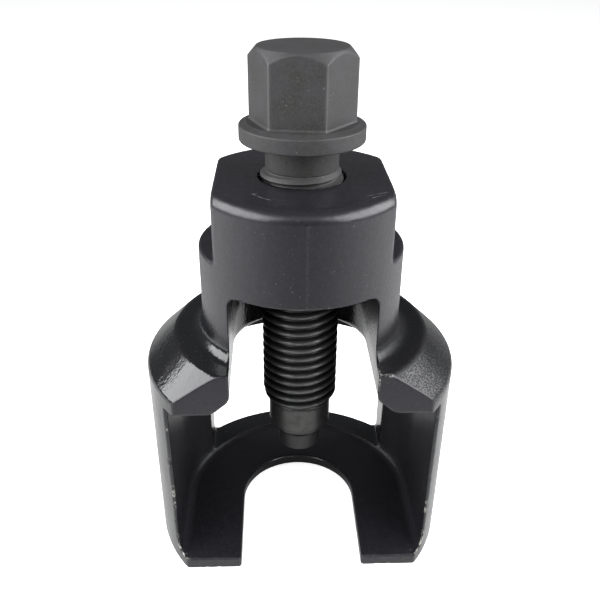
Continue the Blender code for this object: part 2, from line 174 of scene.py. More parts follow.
def bell_field(x, y, h):
    """The forging before anything is cut out of it: a boss on a bell."""
    r = np.hypot(x, y)
    in_front = np.clip(0.5 - y / BOSS_R, 0.0, 1.0)
    boss = rounded_meet(r - BOSS_R, h - BOSS_TOP, BOSS_BACK_EDGE + (BOSS_EDGE - BOSS_BACK_EDGE) * in_front)
    cone = slope_field(r, h, (SHELF_RIM_R, SHELF), (BELL_R, BELL_SHOULDER))
    side = r - BELL_FOOT_R - (BELL_R - BELL_FOOT_R) * h / BELL_SHOULDER
    bell = rounded_meet(rounded_meet(h - SHELF, cone, SHELF_RIM_EDGE), side, BELL_SHOULDER_EDGE)
    return rounded_meet(filleted_join(boss, bell, SHELF_FILLET), -h, FOOT_EDGE)


def window_field(x, y, h):
    """The window under the boss, with the chamfer that opens it into the pocket."""
    reach = tunnel_reach(x, y)
    window = rounded_meet(reach - WINDOW_HALF, h - WINDOW_ROOF, WINDOW_CORNER)
    behind = np.clip(y / np.maximum(reach, 1.0), 0.0, 1.0) ** 2
    width = WINDOW_CHAMFER_SIDE + (WINDOW_CHAMFER_BACK - WINDOW_CHAMFER_SIDE) * behind
    rise = h - POCKET_CEILING - WINDOW_CHAMFER_H
    chamfer = ((reach - WINDOW_HALF) * WINDOW_CHAMFER_H + rise * width) / np.hypot(WINDOW_CHAMFER_H, width)
    opening = filleted_join(window, chamfer, CHAMFER_TOP_ROUND)
    return np.maximum(opening, POCKET_CEILING - WINDOW_CHAMFER_H - h)


def pocket_field(x, y, h):
    """The space inside the bell, open in front, that takes the ball joint."""
    levels = np.maximum(FORK_FLOOR - h, h - POCKET_CEILING)
    return rounded_meet(tunnel_reach(x, y) - POCKET_HALF, levels, POCKET_CORNER)


def wall_front_field(y, h):
    """The space in front of the wall's front edges, down to the slope of the feet."""
    slope = (y - WALL_FRONT - h + WALL_CHAMFER_TOP) / math.sqrt(2)
    return rounded_meet(np.maximum(y - WALL_FRONT, slope), h - WALL_FRONT_TOP, EDGE)


def back_window_field(x, y, h):
    """The opening through the bell's back wall."""
    levels = np.maximum(BACK_WINDOW_BOTTOM - h, h - BACK_WINDOW_TOP)
    opening = rounded_meet(np.abs(x) - BACK_WINDOW_HALF, levels, BACK_WINDOW_CORNER)
    return np.maximum(opening, POCKET_HALF - EDGE - np.where(y > 0.0, np.hypot(x, y), 0.0))


def tapped_hole_field(x, y, h):
    """The boss's threaded hole. Its flanks lean 30 degrees, which the last factor allows for."""
    r = np.hypot(x, y)
    thread = (r - thread_radius(x, y, h, TAPPED_BORE_R, THREAD_GAP)) * math.cos(math.radians(30))
    return np.maximum(thread, WINDOW_ROOF - WINDOW_CORNER - h)


def housing_field(x, y, h):
    """The finished housing, with everything cut out of the forging."""
    shape = bell_field(x, y, h)
    shape = cut(shape, np.maximum(y - FRONT, h - WINDOW_ROOF))
    shape = cut(shape, rounded_meet(FLAT_HALF - np.abs(x), FLAT_LEDGE - h, FLAT_CORNER), FLAT_EDGE)
    shape = cut(shape, filleted_join(pocket_field(x, y, h), window_field(x, y, h), CHAMFER_FOOT_ROUND))
    shape = cut(shape, np.maximum(tunnel_reach(x, y) - FORK_SLOT_HALF, h - 2 * FORK_FLOOR), SLOT_EDGE)
    shape = cut(shape, wall_front_field(y, h))
    shape = cut(shape, back_window_field(x, y, h))
    counterbore = np.maximum(np.hypot(x, y) - COUNTERBORE_R, BOSS_TOP - COUNTERBORE_DEPTH - h)
    shape = cut(shape, counterbore, COUNTERBORE_EDGE)
    return np.maximum(shape, -tapped_hole_field(x, y, h))


def waves(seed, count, shortest, longest):
    """Random plane waves, as (direction over wavelength, phase), whose sum makes a smooth uneven relief."""
    draw = np.random.default_rng(seed)
    directions = draw.normal(size=(count, 3))
    directions /= np.linalg.norm(directions, axis=1)[:, None]
    lengths = np.exp(draw.uniform(math.log(shortest), math.log(longest), count))
    return directions * (math.tau / lengths)[:, None], draw.uniform(0.0, math.tau, count)


def relief(x, y, h, swell):
    """Sum of the waves at each point, most often between -1 and 1."""
    directions, phases = swell
    total = 0.0
    for (a, b, c), phase in zip(directions, phases):
        total = total + np.sin(a * x + b * y + c * h + phase)
    return total / math.sqrt(len(phases))


FORGED_SWELL = waves(7, 10, 7.0, 22.0)
FORGED_LUMPS = waves(11, 14, 1.6, 4.0)
SWELL_DEPTH, LUMP_DEPTH = 0.010, 0.006
SKIN = 0.032  # the uneven skin lies about this far inside the CAD's surface, and never outside it
SEAM_X, SEAM_HEIGHT, SEAM_WIDTH = 0.4, 0.025, 0.35  # what is left of the parting seam down the boss's front


def dents():
    """Small knocks along the housing's worn edges, as (x, y, height, radius, depth)."""
    draw = np.random.default_rng(23)
    marks = [(0.35, -BOSS_R, BOSS_TOP - 0.4, 0.9, 0.35)]
    for side in (-1, 1):
        wall = [(side * draw.uniform(POCKET_HALF, BELL_FOOT_R - 6), WALL_FRONT, h, draw.uniform(0.5, 1.2),
                 draw.uniform(0.08, 0.3)) for h in draw.uniform(9.0, 48.0, 5)]
        chamfer = [(side * (WINDOW_HALF + 4.2), FRONT + draw.uniform(0, 6), POCKET_CEILING + 0.4,
                    draw.uniform(0.5, 1.1), draw.uniform(0.1, 0.3)) for _ in range(6)]
        feet = [(side * draw.uniform(FORK_SLOT_HALF, BELL_FOOT_R - 8), FRONT, draw.choice([0.2, 3.2]),
                 draw.uniform(0.4, 0.9), draw.uniform(0.06, 0.2)) for _ in range(8)]
        marks += wall + chamfer + feet
    return marks


def forged_housing_field(x, y, h):
    """The housing with the uneven skin of a forging, and its dents."""
    uneven = SWELL_DEPTH * relief(x, y, h, FORGED_SWELL) + LUMP_DEPTH * relief(x, y, h, FORGED_LUMPS)
    seam = SEAM_HEIGHT * np.exp(-(((x - SEAM_X) / SEAM_WIDTH) ** 2)) * (y < 0.0) * (h > WINDOW_ROOF)
    shape = housing_field(x, y, h) + np.maximum(SKIN + uneven - seam, 0.0)
    for mark_x, mark_y, mark_h, radius, depth in DENTS:
        away = ((x - mark_x) ** 2 + (y - mark_y) ** 2 + (h - mark_h) ** 2) / radius**2
        shape = shape + depth * np.exp(-1.5 * away)
    return shape


DENTS = dents()


# --- Meshing -------------------------------------------------------------------------------------------


def surface_net(field, low, high, step):
    """Vertices and four-sided faces of a field's surface, one vertex in each grid cell that it crosses."""
    axes = [np.arange(a, b + step, step) for a, b in zip(low, high)]
    x, y, h = np.meshgrid(*axes, indexing="ij", sparse=True)
    slabs = [field(x, y, h[:, :, i:i + SLAB]) for i in range(0, h.shape[2], SLAB)]
    values = np.concatenate(slabs, axis=2).astype(np.float32)
    inside = values < 0.0
    corners = [(i, j, k) for i in (0, 1) for j in (0, 1) for k in (0, 1)]
    cells = [n - 1 for n in values.shape]

    def corner_of_cells(array, corner):
        return array[tuple(slice(c, c + n) for c, n in zip(corner, cells))]

    filled = sum(corner_of_cells(inside, corner).astype(np.int8) for corner in corners)
    crossed = (filled > 0) & (filled < 8)
    number = np.full(cells, -1, np.int64)
    number[crossed] = np.arange(np.count_nonzero(crossed))
    places = np.argwhere(crossed)
    total = np.zeros(places.shape)
    hits = np.zeros(len(places))
    for first in corners:
        for axis in range(3):
            if first[axis]:
                continue
            second = tuple(c + (i == axis) for i, c in enumerate(first))
            a = corner_of_cells(values, first)[crossed]
            b = corner_of_cells(values, second)[crossed]
            hit = (a < 0) != (b < 0)
            point = places + np.array(first, float)
            point[:, axis] += np.where(hit, a / np.where(hit, a - b, 1.0), 0.0)
            total += point * hit[:, None]
            hits += hit
    points = np.array(low) + step * total / hits[:, None]
    return points, net_faces(inside, number)


def net_faces(inside, number):
    """One face around every grid edge whose two ends lie on different sides of the surface."""
    faces = []
    for axis in range(3):
        u, v = (axis + 1) % 3, (axis + 2) % 3
        span = [slice(1, n - 1) for n in inside.shape]
        span[axis] = slice(0, inside.shape[axis] - 1)
        ahead = list(span)
        ahead[axis] = slice(1, inside.shape[axis])
        here, there = inside[tuple(span)], inside[tuple(ahead)]
        starts = np.argwhere(here != there)
        leaving = here[here != there]
        starts += np.array([s.start for s in span])
        ring = []
        for du, dv in ((-1, -1), (0, -1), (0, 0), (-1, 0)):
            cell = starts.copy()
            cell[:, u] += du
            cell[:, v] += dv
            ring.append(number[tuple(cell.T)])
        ring = np.stack(ring, axis=1)
        faces.append(np.where(leaving[:, None], ring, ring[:, ::-1]))
    return np.concatenate(faces)


def gradient(field, points, reach=0.06):
    """Direction and rate at which the field grows fastest at each point."""
    slope = np.empty_like(points)
    for axis in range(3):
        step = np.zeros(3)
        step[axis] = reach
        slope[:, axis] = (field(*(points + step).T) - field(*(points - step).T)) / (2 * reach)
    return slope


def settle(field, points, rounds):
    """Move points onto the field's surface."""
    for _ in range(rounds):
        slope = gradient(field, points)
        steepness = np.maximum((slope**2).sum(axis=1), 0.1)
        points = points - slope * (field(*points.T) / steepness)[:, None]
    return points


def relax(points, faces, strength=0.5):
    """Even out the spacing of the vertices, each towards the mean of its neighbours."""
    total = np.zeros_like(points)
    count = np.zeros(len(points))
    for i in range(faces.shape[1]):
        for a, b in ((faces[:, i], faces[:, i - 1]), (faces[:, i - 1], faces[:, i])):
            for axis in range(3):
                total[:, axis] += np.bincount(a, points[b, axis], len(points))
            count += np.bincount(a, minlength=len(points))
    return points + strength * (total / count[:, None] - points)


def bend(field, points, reach=0.5):
    """How sharply the surface bends at each point: above zero on edges, below zero in hollows."""
    around = sum(field(*(points + sign * reach * np.eye(3)[axis]).T) for axis in range(3) for sign in (-1, 1))
    return (around - 6 * field(*points.T)) / reach**2


def placed(points):
    """Places in the frame, in metres, of points in millimetres above the fork's underside."""
    return np.asarray(points) * MM + np.array([0.0, 0.0, FORK_UNDERSIDE])


def mesh_from(name, points, faces):
    mesh = bpy.data.meshes.new(name)
    mesh.from_pydata(placed(points).tolist(), [], [list(face) for face in faces])
    mesh.update()
    return mesh


def points_of(mesh):
    """The mesh's vertices, in millimetres above the fork's underside."""
    flat = np.empty(len(mesh.vertices) * 3)
    mesh.vertices.foreach_get("co", flat)
    return (flat.reshape(-1, 3) - np.array([0.0, 0.0, FORK_UNDERSIDE])) / MM


def add_measure(mesh, name, values):
    """A number for each vertex, which the material reads by name."""
    mesh.attributes.new(name, "FLOAT", "POINT").data.foreach_set("value", np.asarray(values, np.float32))


def add_piece(name, mesh, material, body, node):
    """A visible piece that rides on a body and stands for a CAD node."""
    piece = bpy.data.objects.new(name, mesh)
    bpy.context.scene.collection.objects.link(piece)
    mesh.materials.append(material)
    mesh.shade_smooth()
    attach(piece, body)
    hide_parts(node)
    return piece


def thinned(mesh, triangles):
    """The mesh with fewer faces where it is flat."""
    item = bpy.data.objects.new("thinning", mesh)
    bpy.context.scene.collection.objects.link(item)
    thin = item.modifiers.new("Thin", "DECIMATE")
    thin.ratio = min(1.0, triangles / (2 * len(mesh.polygons)))
    result = bpy.data.meshes.new_from_object(item.evaluated_get(bpy.context.evaluated_depsgraph_get()))
    bpy.data.objects.remove(item)
    return result


def build_housing(material):
    """The housing, meshed on a grid, thinned where it is flat, and shaded from its field."""
    margin = 2 * GRID
    low = [v - margin for v in (-BELL_R, FRONT, 0.0)]
    high = [v + margin for v in (BELL_R, BELL_R, BOSS_TOP)]
    points, faces = surface_net(housing_field, low, high, GRID)
    for _ in range(2):
        points = settle(housing_field, relax(points, faces), 1)
    points = settle(forged_housing_field, points, 2)
    mesh = thinned(mesh_from("bell_housing_forging", points, faces), HOUSING_TRIANGLES)
    points = settle(forged_housing_field, points_of(mesh), 1)
    mesh.vertices.foreach_set("co", placed(points).ravel())
    mesh.shade_smooth()
    slope = gradient(forged_housing_field, points)
    normals = slope / np.linalg.norm(slope, axis=1)[:, None]
    mesh.normals_split_custom_set_from_vertices(normals.tolist())
    add_measure(mesh, "bend", bend(housing_field, points))
    return add_piece("forged_bell", mesh, material, "housing", "bell_housing")


# --- Turned pieces -------------------------------------------------------------------------------------


def rounded(profile, steps=5):
    """A profile of (radius, height, rounding) points, with each corner drawn as an arc of that radius."""
    path = [profile[0][:2]]
    for before, here, after in zip(profile, profile[1:], profile[2:]):
        corner, radius = np.array(here[:2]), here[2]
        if radius <= 0.0:
            path.append(tuple(corner))
            continue
        back = np.array(before[:2]) - corner
        on = np.array(after[:2]) - corner
        back /= np.linalg.norm(back)
        on /= np.linalg.norm(on)
        half = math.acos(np.clip(back @ on, -1.0, 1.0)) / 2
        centre = corner + (back + on) / np.linalg.norm(back + on) * radius / math.sin(half)
        start = corner + back * radius / math.tan(half) - centre
        end = corner + on * radius / math.tan(half) - centre
        for i in range(steps + 1):
            spoke = start + (end - start) * i / steps
            path.append(tuple(centre + spoke * radius / np.linalg.norm(spoke)))
    path.append(profile[-1][:2])
    return path


def filled_in(path, longest):
    """The path with extra points, so that no stretch of it is longer than this."""
    full = [path[0]]
    for a, b in zip(path, path[1:]):
        parts = max(1, math.ceil(math.dist(a, b) / longest))
        full += [tuple(np.array(a) + (np.array(b) - np.array(a)) * i / parts) for i in range(1, parts + 1)]
    return full


def lathe_mesh(name, rings):
    """A closed surface from rings of points, each (columns, 3), between two poles on the axis."""
    columns = len(rings[0])
    points = np.concatenate([[rings[0][0] * (0, 0, 1)], *rings, [rings[-1][0] * (0, 0, 1)]])
    across = np.arange(columns)
    following = (across + 1) % columns
    faces = [(0, a, b) for a, b in zip(1 + across, 1 + following)]
    for row in range(len(rings) - 1):
        start = 1 + row * columns
        faces += zip(start + following, start + across, start + columns + across, start + columns + following)
    last = 1 + (len(rings) - 1) * columns
    faces += [(len(points) - 1, b, a) for a, b in zip(last + across, last + following)]
    return mesh_from(name, points, faces)


def ring_points(angles, radius, height):
    """One point at each angle. The radius and the height are numbers, or differ from angle to angle."""
    radius = np.broadcast_to(radius, angles.shape)
    height = np.broadcast_to(height, angles.shape)
    return np.stack([radius * np.cos(angles), radius * np.sin(angles), height], axis=1)


def even_angles(columns):
    return np.arange(columns) * math.tau / columns


def screw_angles():
    """Even columns, with extra ones close to each corner of the hexagon."""
    corners = np.arange(6) * math.pi / 3
    extra = [corners + math.radians(offset) for offset in (-1.4, -0.7, 0.7, 1.4)]
    return np.sort(np.concatenate([even_angles(SCREW_COLUMNS), *extra]) % math.tau) + HEX_TURN


def turned_mesh(name, profile):
    """A turned piece from a rounded profile that starts and ends on the axis, from the top down."""
    path = filled_in(rounded(profile), LATHE_STEP)
    angles = even_angles(SMALL_COLUMNS)
    return lathe_mesh(name, [ring_points(angles, r, h) for r, h in path[1:-1]])


def hexagon_radius(angles):
    """Radius of the hexagon at each angle, its corners softened."""
    turned_by = (angles - HEX_TURN + math.pi / 6) % (math.pi / 3) - math.pi / 6
    flat = HEX_HALF / np.cos(math.pi / 6 - np.abs(turned_by))
    return soft_least(flat, HEX_CORNER_R - 0.25 * HEX_CORNER, HEX_CORNER)


def hexagon_rings(angles):
    """Rings of the hexagon, from its turned top face down to the collar."""
    hexagon = hexagon_radius(angles)
    chamfer_end = (COLLAR_R, HEX_TOP - HEX_CHAMFER_SLOPE * (COLLAR_R - HEX_TOP_R), 0)
    top = rounded([(0.0, HEX_TOP, 0), (HEX_TOP_R, HEX_TOP, HEX_TOP_EDGE), chamfer_end])
    within = [(r, h) for r, h in filled_in(top, HEX_TOP_STEP)[1:] if r < HEX_CORNER_R + 0.4]
    rings = [ring_points(angles, soft_least(r, hexagon, 0.1), h) for r, h in within]
    start, foot = within[-1][1], crown_height(hexagon)
    for share in np.linspace(0.0, 1.0, HEX_ROWS)[1:]:
        height = start + (foot - start) * share
        near_foot = np.clip(1 - (height - foot) / HEX_FOOT_FILLET, 0.0, 1.0)
        rings.append(ring_points(angles, hexagon + HEX_FOOT_FILLET * near_foot**2, height))
    return rings


def crown_height(radius):
    """Height of the collar's top: a round pad under the hexagon, and a gentle slope out to the rim."""
    return np.interp(radius, [PAD_R, PAD_R + PAD_STEP, COLLAR_R], [PAD_TOP, PAD_FOOT, COLLAR_TOP])


def collar_rings(angles, inner):
    """Rings over the collar's top, from the hexagon's foot out to near the collar's edge."""
    radii = [inner + (COLLAR_RIM_R - inner) * share for share in np.linspace(0.0, 1.0, 25)[1:]]
    return [ring_points(angles, radius, crown_height(radius)) for radius in radii]


def thread_envelope(h):
    """Radius that the thread is trimmed to at each height."""
    return np.interp(h, [THREAD_BOTTOM, THREAD_BOTTOM_FULL, THREAD_TOP_FULL, THREAD_TOP],
                     [THREAD_FOOT_R, CREST_R, CREST_R, NECK_R])


def thread_rings(angles):
    """Rings over the thread, from the neck down to the plain shank."""
    rings = []
    for h in np.arange(THREAD_TOP, THREAD_BOTTOM - THREAD_ROW, -THREAD_ROW):
        profile = thread_radius(np.cos(angles), np.sin(angles), h, ROOT_R, 0.0, WORN_CREST_FLAT)
        radius = soft_least(profile, thread_envelope(h), THREAD_END_SOFTNESS)
        rings.append(ring_points(angles, np.maximum(radius, SHANK_R), h))
    return rings


def blind_bore_path():
    """The bore in the screw's lower end, from its mouth up to the ball's round seat on the axis."""
    bore_r = STEM_R + RUNNING_GAP
    seat = [(bore_r * math.cos(a), BALL_CENTRE + bore_r * math.sin(a), 0)
            for a in np.linspace(0.0, math.pi / 2, 12)]
    return [(SHANK_END_R, SHANK_END, 0.3), (bore_r, SHANK_END, 0.25),
            (bore_r, GROOVE_LOW, GROOVE_EDGE), (GROOVE_BORE_R, GROOVE_LOW, GROOVE_EDGE),
            (GROOVE_BORE_R, GROOVE_HIGH, GROOVE_EDGE), (bore_r, GROOVE_HIGH, GROOVE_EDGE), *seat]


def build_screw(material):
    """The force screw in one surface: hexagon, collar, neck, thread, shank and the blind bore for the tip."""
    angles = screw_angles()
    rings = hexagon_rings(angles)
    rings += collar_rings(angles, np.hypot(*rings[-1][:, :2].T))
    collar_path = rounded([
        (COLLAR_RIM_R, crown_height(COLLAR_RIM_R), 0), (COLLAR_R, COLLAR_TOP, COLLAR_EDGE),
        (COLLAR_R, COLLAR_BOTTOM, COLLAR_EDGE), (NECK_R, COLLAR_BOTTOM, NECK_FILLET),
        (NECK_R, THREAD_TOP + NECK_GROOVE, GROOVE_EDGE),
        (NECK_GROOVE_R, THREAD_TOP + NECK_GROOVE / 2, GROOVE_EDGE), (NECK_GROOVE_R, THREAD_TOP, 0)])
    rings += [ring_points(angles, r, h) for r, h in filled_in(collar_path, LATHE_STEP)[1:-1]]
    rings += thread_rings(angles)
    shank = rounded([(SHANK_R, THREAD_BOTTOM, 0), (SHANK_R, SHANK_END + SHANK_TAPER, SHANK_ROUND),
                     *blind_bore_path()])
    rings += [ring_points(angles, r, h) for r, h in filled_in(shank, LATHE_STEP)[1:-1]]
    mesh = lathe_mesh("force_screw_turned", rings)
    points = points_of(mesh)
    radius = np.hypot(points[:, 0], points[:, 1])
    height = points[:, 2]
    threaded = (height < OILED_TOP) & (height > THREAD_BOTTOM)
    add_measure(mesh, "thread", threaded)
    add_measure(mesh, "crest", np.clip((radius - ROOT_R) / (CREST_R - ROOT_R), 0.0, 1.0) * threaded)
    on_hexagon = height > crown_height(radius) + 0.3
    # Painted highlight along the hexagon's corners, which the corner measure lightens in the material.
    worn = np.clip((radius - HEX_CORNER_R + CORNER_HIGHLIGHT) / CORNER_HIGHLIGHT_FADE, 0.0, 1.0)
    add_measure(mesh, "corner", worn * on_hexagon)
    return add_piece("screw_spindle", mesh, material, "screw", "force_screw")


def build_tip(material):
    """The pressure tip: a stem with a groove for the snap ring, and the head that presses."""
    mesh = turned_mesh("pressure_tip_turned", [
        (0.0, STEM_TOP, 0), (STEM_R, STEM_TOP, 0.3), (STEM_R, GROOVE_HIGH, GROOVE_EDGE),
        (GROOVE_STEM_R, GROOVE_HIGH, GROOVE_EDGE), (GROOVE_STEM_R, GROOVE_LOW, GROOVE_EDGE),
        (STEM_R, GROOVE_LOW, GROOVE_EDGE), (STEM_R, TIP_SHOULDER, 0.15), (TIP_R, TIP_SHOULDER, 0.3),
        (TIP_R, TIP_FACE, 0.5), (0.0, TIP_FACE, 0)])
    return add_piece("swivel_tip", mesh, material, "tip", "pressure_tip")


def build_ball(material):
    """A ground ball, with the small flat that years of pressing wear on its top pole."""
    worn = 0.02
    path = [(BALL_R * math.sin(a), BALL_CENTRE + min(BALL_R * math.cos(a), BALL_R - worn), 0)
            for a in np.linspace(0.0, math.pi, 40)]
    angles = even_angles(SMALL_COLUMNS)
    mesh = lathe_mesh("thrust_ball_ground", [ring_points(angles, r, h) for r, h, _ in path[1:-1]])
    return add_piece("ground_ball", mesh, material, "screw", "thrust_ball")


def build_snap_ring(material):
    """Round spring wire bent into an open ring, its cut ends rounded over."""
    sweep = np.linspace(RING_OPENING / 2, math.tau - RING_OPENING / 2, 97)
    around = even_angles(16)
    rings = []
    for i, angle in enumerate(sweep):
        from_end = min(i, len(sweep) - 1 - i)
        wire = WIRE_R * (1.0, 0.97, 0.85, 0.6)[max(0, 3 - from_end)]
        out = RING_R + wire * np.cos(around)
        rings.append(np.stack([out * math.cos(angle), out * math.sin(angle),
                               RING_HEIGHT + wire * np.sin(around)], axis=1))
    points = np.concatenate(rings)
    count = len(around)
    faces = [tuple(reversed(range(count)))]
    for row in range(0, len(points) - count, count):
        for i in range(count):
            j = (i + 1) % count
            faces.append((row + i, row + count + i, row + count + j, row + j))
    faces.append(tuple(range(len(points) - count, len(points))))
    mesh = mesh_from("retaining_ring_wire", points, faces)
    return add_piece("snap_ring_wire", mesh, material, "screw", "retaining_ring")


# --- Materials -----------------------------------------------------------------------------------------

# Corners that have been knocked: (x, y, height) and how far the damage reaches, in millimetres.
KNOCKED = [
    ((WINDOW_HALF, FRONT + 1, SHELF - 0.5), 4.5),
    ((POCKET_HALF + 2.0, FRONT + 1, POCKET_CEILING + 1.0), 3.5),
    ((-POCKET_HALF - 2.0, FRONT + 1, POCKET_CEILING + 1.0), 2.5),
    ((POCKET_HALF, WALL_FRONT - 2, WALL_CHAMFER_TOP - 2), 4.5),
    ((-POCKET_HALF, WALL_FRONT - 2, WALL_CHAMFER_TOP - 2), 4.5),
    ((-POCKET_HALF - 1, WALL_FRONT, 22.0), 5.0),
    ((POCKET_HALF + 1, WALL_FRONT, 17.0), 3.0),
    ((FLAT_HALF, -14.0, BOSS_TOP), 3.5),
]
# Fine scratches in the coat on the boss's top and beside the boss, from one (x, y, height) to another.
SCRATCHES = [
    ((-11.5, -13.2, BOSS_TOP), (-9.6, -15.4, BOSS_TOP)),
    ((-9.6, -15.4, BOSS_TOP), (-7.6, -16.9, BOSS_TOP)),
    ((-11.5, -13.2, BOSS_TOP), (-10.4, -13.0, BOSS_TOP)),
    ((14.0, -14.5, BOSS_TOP), (19.5, -12.0, BOSS_TOP)),
    ((15.0, -15.8, BOSS_TOP), (18.0, -14.0, BOSS_TOP)),
    ((-POCKET_HALF, WALL_FRONT - 0.5, WALL_CHAMFER_TOP + 3), (-POCKET_HALF + 2, WALL_FRONT - 2, FORK_FLOOR)),
    ((POCKET_HALF - 1, WALL_FRONT, WALL_CHAMFER_TOP + 4), (POCKET_HALF - 3, WALL_FRONT - 2, FORK_FLOOR)),
]
# The line of the ground-off parting seam down the front of the boss, where a faint painted highlight runs.
SEAM_HIGHLIGHT_LINE = ((SEAM_X, -BOSS_R, BOSS_TOP - BOSS_EDGE), (SEAM_X, -BOSS_R, WINDOW_ROOF))
# Where a finish or a painted shade changes, in metres: the start and the end of each gradual change.
SATIN_RISE = (SHELF + 2.0) * MM, (SHELF + 9.0) * MM
SLOPE_RISE = (BELL_SHOULDER - 4.0) * MM, BELL_SHOULDER * MM
SHELF_RISE = (SHELF - 1.0) * MM, (SHELF - 0.4) * MM
ARM_DEPTH = (FRONT + 0.2) * MM, (FRONT + 0.6) * MM
COARSE_RISE = 14.0 * MM, 24.0 * MM
SHANK_FALL = (THREAD_BOTTOM + 1.2) * MM, (THREAD_BOTTOM + 0.4) * MM
SHANK_END_SHADE_FALL = (SHANK_END + 0.8) * MM, (SHANK_END + 0.4) * MM
TIP_GAP_SHADE_RISE = (TIP_SHOULDER - 0.42) * MM, (TIP_SHOULDER - 0.30) * MM


class Look:
    """A node material, built one named step at a time."""

    def __init__(self, name):
        self.material = bpy.data.materials.new(name)
        self.material.use_nodes = True
        self.tree = self.material.node_tree
        self.shader = self.tree.nodes["Principled BSDF"]
        self.place = self.tree.nodes.new("ShaderNodeTexCoord").outputs["Object"]

    def feed(self, socket, value):
        if isinstance(value, bpy.types.NodeSocket):
            self.tree.links.new(value, socket)
        else:
            socket.default_value = value

    def noise(self, size, detail=2.0, roughness=0.5, distortion=0.0):
        """Noise whose lumps are about this size, in metres."""
        node = self.tree.nodes.new("ShaderNodeTexNoise")
        self.feed(node.inputs["Vector"], self.place)
        node.inputs["Scale"].default_value = 1.0 / size
        node.inputs["Detail"].default_value = detail
        node.inputs["Roughness"].default_value = roughness
        node.inputs["Distortion"].default_value = distortion
        return node.outputs["Fac"]

    def measure(self, name):
        node = self.tree.nodes.new("ShaderNodeAttribute")
        node.attribute_name = name
        return node.outputs["Fac"]

    def axis(self, name):
        node = self.tree.nodes.new("ShaderNodeSeparateXYZ")
        self.feed(node.inputs[0], self.place)
        return node.outputs[name]

    def height(self):
        """Height above the fork's underside, in metres."""
        return self.math("SUBTRACT", self.axis("Z"), FORK_UNDERSIDE)

    def inside_pocket(self):
        """1 on the pocket's walls, floor and ceiling, 0 elsewhere."""
        behind = self.math("MAXIMUM", self.axis("Y"), 0.0)
        x = self.axis("X")
        reach = self.math("SQRT", self.math("ADD", self.product(x, x), self.product(behind, behind)))
        within = self.math("LESS_THAN", reach, (POCKET_HALF + 0.15) * MM)
        above = self.math("GREATER_THAN", self.height(), (FORK_FLOOR - 0.3) * MM)
        below = self.math("LESS_THAN", self.height(), (POCKET_CEILING + 0.15) * MM)
        return self.product(within, above, below)

    def vector_math(self, operation, a, b):
        """The node that works on two vectors. SCALE takes a number as its second value."""
        node = self.tree.nodes.new("ShaderNodeVectorMath")
        node.operation = operation
        self.feed(node.inputs[0], a)
        self.feed(node.inputs["Scale" if operation == "SCALE" else 1], b)
        return node

    def near(self, place, reach):
        """1 at a place, given in millimetres with its height, falling to 0 at this distance from it."""
        gap = self.vector_math("DISTANCE", self.place, placed(place)).outputs["Value"]
        return self.ramp(gap, 0.4 * reach * MM, reach * MM, 1.0, 0.0)

    def bare_metal(self):
        """Where the coat is gone: knocked corners of the arms and feet, and specks along the sharp edges."""
        edge = self.ramp(self.measure("bend"), 0.8, 1.6)
        knocked = 0.0
        for place, reach in KNOCKED:
            knocked = self.math("MAXIMUM", knocked, self.near(place, reach))
        chips = self.ramp(self.noise(0.0012, 3.0, 0.7), 0.50, 0.56)
        rare = self.ramp(self.noise(0.003, 3.0, 0.6), 0.68, 0.71)
        along = self.product(rare, 0.5, self.rest(self.inside_pocket()))
        bared = self.math("MAXIMUM", self.product(knocked, chips), along)
        return self.product(bared, edge)

    def math(self, operation, a, b=0.0):
        node = self.tree.nodes.new("ShaderNodeMath")
        node.operation = operation
        self.feed(node.inputs[0], a)
        self.feed(node.inputs[1], b)
        return node.outputs[0]

    def product(self, first, *others):
        for other in others:
            first = self.math("MULTIPLY", first, other)
        return first

    def rest(self, share):
        """1 less the share."""
        return self.math("SUBTRACT", 1.0, share)

    def ramp(self, value, low, high, start=0.0, end=1.0):
        """start where the value is low, end where it is high, and a smooth change between."""
        node = self.tree.nodes.new("ShaderNodeMapRange")
        node.interpolation_type = "SMOOTHSTEP"
        for socket, number in zip(("Value", "From Min", "From Max", "To Min", "To Max"),
                                  (value, low, high, start, end)):
            self.feed(node.inputs[socket], number)
        return node.outputs["Result"]

    def blend(self, share, first, second):
        """A colour, or a number, that goes from the first to the second as share goes from 0 to 1."""
        node = self.tree.nodes.new("ShaderNodeMix")
        is_colour = any(isinstance(v, tuple) or getattr(v, "type", "") == "RGBA" for v in (first, second))
        node.data_type = "RGBA" if is_colour else "FLOAT"
        kind = "RGBA" if is_colour else "VALUE"
        slots = [s for s in node.inputs if s.enabled and s.type == kind and s.name in ("A", "B")]
        factor = next(s for s in node.inputs if s.enabled and s.name == "Factor")
        self.feed(factor, share)
        for socket, value in zip(slots, (first, second)):
            self.feed(socket, value)
        return next(s for s in node.outputs if s.enabled)

    def scratch(self, start, end, width=0.00016):
        """1 along a fine, broken line between two places, 0 elsewhere."""
        run = placed(end) - placed(start)
        length = np.linalg.norm(run)
        offset = self.vector_math("SUBTRACT", self.place, placed(start)).outputs["Vector"]
        along = self.vector_math("DOT_PRODUCT", offset, run / length).outputs["Value"]
        inside = self.math("MINIMUM", self.math("MAXIMUM", along, 0.0), length)
        nearest = self.vector_math("SCALE", run / length, inside).outputs["Vector"]
        gap = self.vector_math("DISTANCE", offset, nearest).outputs["Value"]
        line = self.ramp(gap, 0.5 * width, 1.5 * width, 1.0, 0.0)
        return self.product(line, self.ramp(self.noise(0.0008, 2.0), 0.40, 0.55, 0.1, 0.8))

    def bump(self, height, depth, strength=1.0):
        """Raises the surface by up to depth metres."""
        node = self.tree.nodes.new("ShaderNodeBump")
        self.feed(node.inputs["Strength"], strength)
        node.inputs["Distance"].default_value = depth
        self.feed(node.inputs["Height"], height)
        if self.shader.inputs["Normal"].is_linked:
            self.feed(node.inputs["Normal"], self.shader.inputs["Normal"].links[0].from_socket)
        self.feed(self.shader.inputs["Normal"], node.outputs["Normal"])

